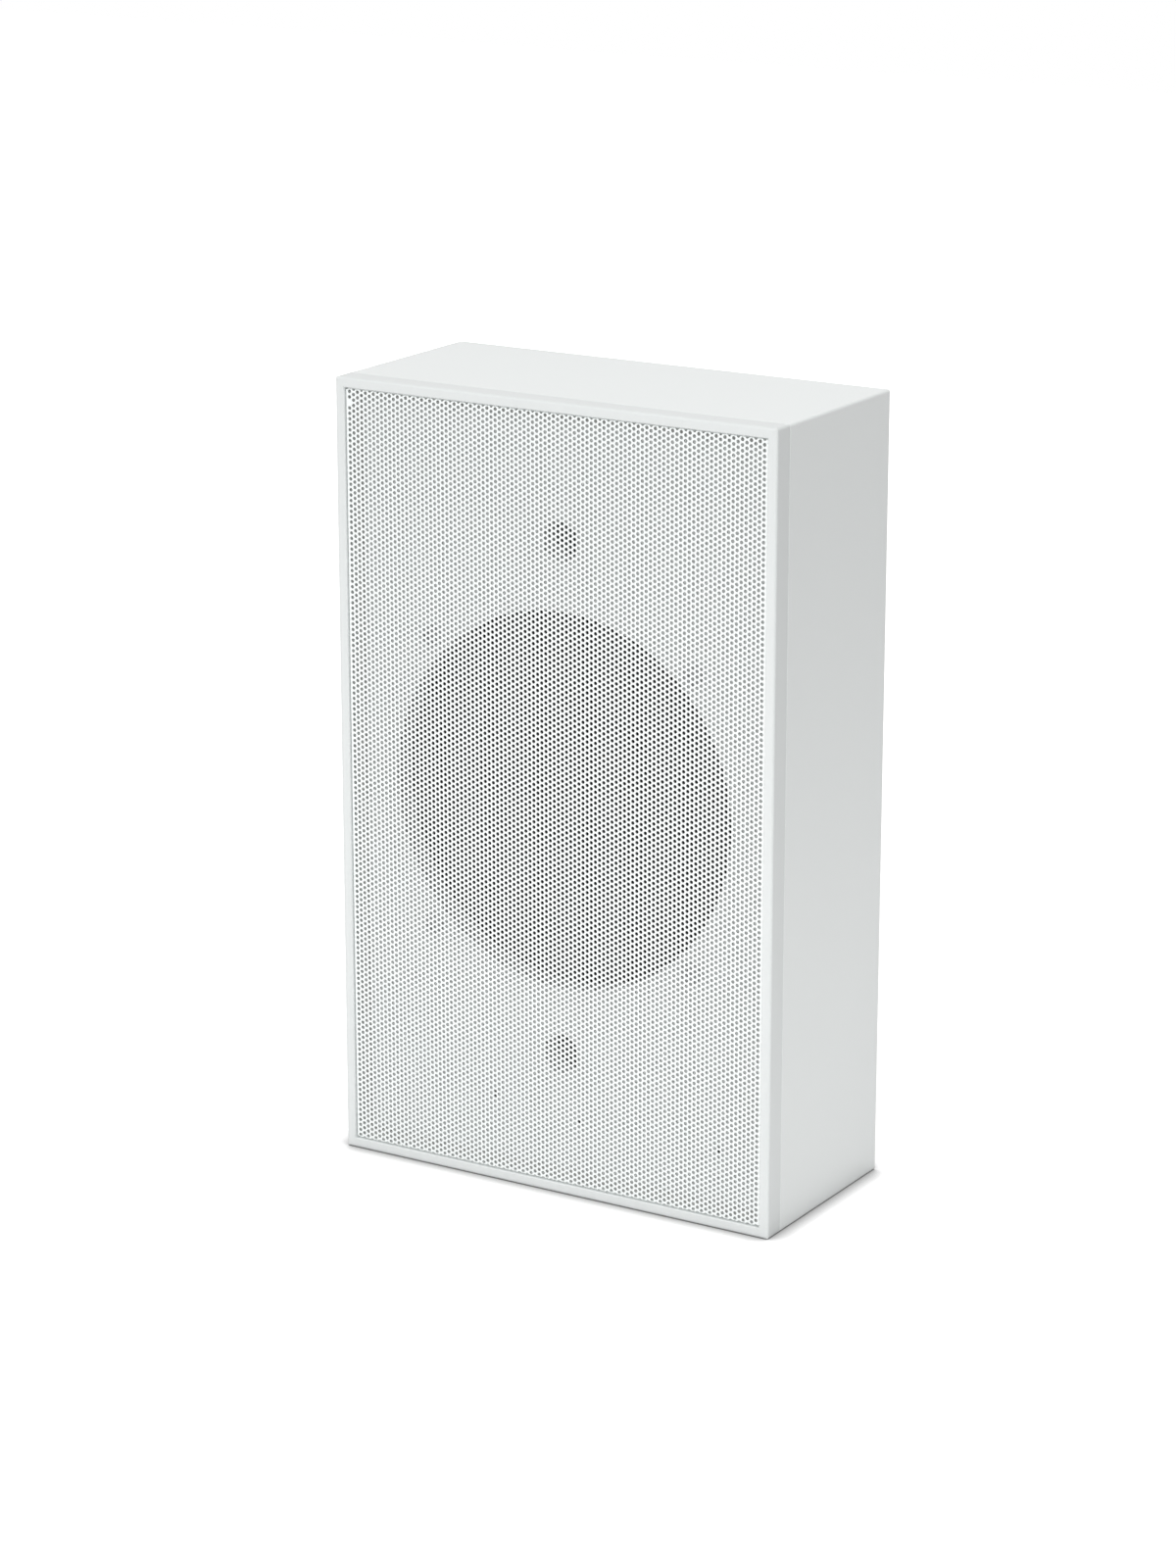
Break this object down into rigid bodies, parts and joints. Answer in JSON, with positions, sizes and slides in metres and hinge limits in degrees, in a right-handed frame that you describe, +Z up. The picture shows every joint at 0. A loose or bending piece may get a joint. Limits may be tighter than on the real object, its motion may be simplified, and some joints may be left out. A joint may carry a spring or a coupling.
{
  "type": "wall loudspeaker",
  "caption": "White upright wall loudspeaker: slim board cabinet, folded perforated steel grille in a narrow rim, full-range driver, line transformer and recessed connector.",
  "frame": {"origin": "middle of the underside of the cabinet", "axes": "the grille faces -Y, +X is to the right of someone who looks at the grille, +Z is up"},
  "size_m": [0.182, 0.082, 0.295],
  "materials": {
    "white_foil_board": "fibreboard covered with fine-grained white foil, satin",
    "raw_wood": "sawn softwood",
    "zinc_steel": "zinc plated",
    "white_plastic": "moulded white plastic, satin",
    "white_powder_coat": "white powder coat on perforated steel",
    "foam": "self-adhesive foam",
    "gasket_card": "pressed card",
    "black_painted_steel": "black paint on pressed steel",
    "black_cloth": "doped cloth",
    "black_paper": "pressed paper pulp",
    "brown_paper": "kraft paper tube",
    "copper": "copper wire",
    "spider_cloth": "resin-treated cloth",
    "ferrite": "sintered ferrite",
    "brown_laminate": "phenolic laminate",
    "brass": "plain brass",
    "black_steel": "blackened steel",
    "core_steel": "stacked laminations",
    "cream_plastic": "moulded plastic",
    "winding_tape": "yellow winding tape",
    "black_plastic": "moulded plastic, fine grain",
    "wadding": "polyester wadding",
    "red_insulation": "cable insulation",
    "blue_insulation": "cable insulation"
  },
  "bodies": {
    "root": {"top_panel": "white_foil_board", "bottom_panel": "white_foil_board", "left_panel": "white_foil_board", "right_panel": "white_foil_board", "back_panel": "white_foil_board", "left_batten": "raw_wood", "right_batten": "raw_wood", "top_batten": "raw_wood", "bottom_batten": "raw_wood", "back_panel_screws": "zinc_steel", "front_frame": "white_plastic", "baffle_board": "white_foil_board", "grille": "white_powder_coat", "grille_foam_strip": "foam", "driver_gasket": "gasket_card", "driver_basket": "black_painted_steel", "surround": "black_cloth", "cone": "black_paper", "whizzer_cone": "black_paper", "dust_cap": "black_paper", "voice_coil_former": "brown_paper", "voice_coil_winding": "copper", "spider": "spider_cloth", "top_plate": "zinc_steel", "magnet": "ferrite", "yoke": "zinc_steel", "tag_board": "brown_laminate", "tag_rivets": "zinc_steel", "solder_tags": "brass", "cone_leads": "copper", "driver_screws": "black_steel", "driver_washers": "zinc_steel", "driver_nuts": "zinc_steel", "transformer_core": "core_steel", "transformer_bobbin": "cream_plastic", "transformer_winding": "winding_tape", "transformer_bracket": "zinc_steel", "transformer_screws": "zinc_steel", "connector_recess": "black_plastic", "recess_screws": "zinc_steel", "terminal_block": "cream_plastic", "terminal_inserts": "brass", "terminal_screws": "zinc_steel", "damping_pad": "wadding", "driver_leads": "red_insulation", "line_leads": "blue_insulation"}
  },
  "joints": []
}
